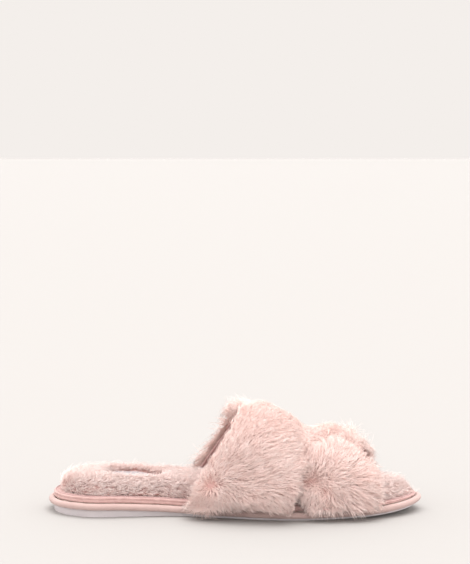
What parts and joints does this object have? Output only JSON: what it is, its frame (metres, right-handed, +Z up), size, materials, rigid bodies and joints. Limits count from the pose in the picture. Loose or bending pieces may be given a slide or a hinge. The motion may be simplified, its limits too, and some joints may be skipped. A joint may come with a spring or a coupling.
{
  "type": "fluffy house slipper",
  "caption": "Left open-toe slide slipper with crossing long-pile plush straps, a short-pile cushioned footbed, piped edge and a low rubber sole.",
  "frame": {"origin": "under the middle of the whole slipper, on the surface it stands on", "axes": "+X from heel to toe, +Y towards the outer (lateral) side, +Z up"},
  "size_m": [0.26, 0.1204, 0.0751],
  "materials": {
    "outsole_rubber": "matte",
    "fibre_board": "matte",
    "foam": "matte",
    "velour": "matte",
    "piping_fabric": "matte",
    "cotton_cord": "matte",
    "thread": "satin",
    "short_plush": "matte",
    "label_satin": "satin",
    "lining_plush": "matte",
    "long_plush": "matte"
  },
  "bodies": {
    "root": {"outsole": "outsole_rubber", "lasting_board": "fibre_board", "midsole_foam": "foam", "side_wrap": "velour", "piping_cover": "piping_fabric", "piping_cord": "cotton_cord", "wrap_stitch": "thread", "footbed_foam": "foam", "footbed_plush": "short_plush", "heel_label": "label_satin", "label_stitch": "thread", "over_strap_lining": "lining_plush", "over_strap_foam": "foam", "over_strap_plush": "long_plush", "over_strap_near_stitch": "thread", "over_strap_far_stitch": "thread", "over_strap_rear_seam": "thread", "over_strap_front_seam": "thread", "under_strap_lining": "lining_plush", "under_strap_foam": "foam", "under_strap_plush": "long_plush", "under_strap_near_stitch": "thread", "under_strap_far_stitch": "thread", "under_strap_rear_seam": "thread", "under_strap_front_seam": "thread"}
  },
  "joints": []
}
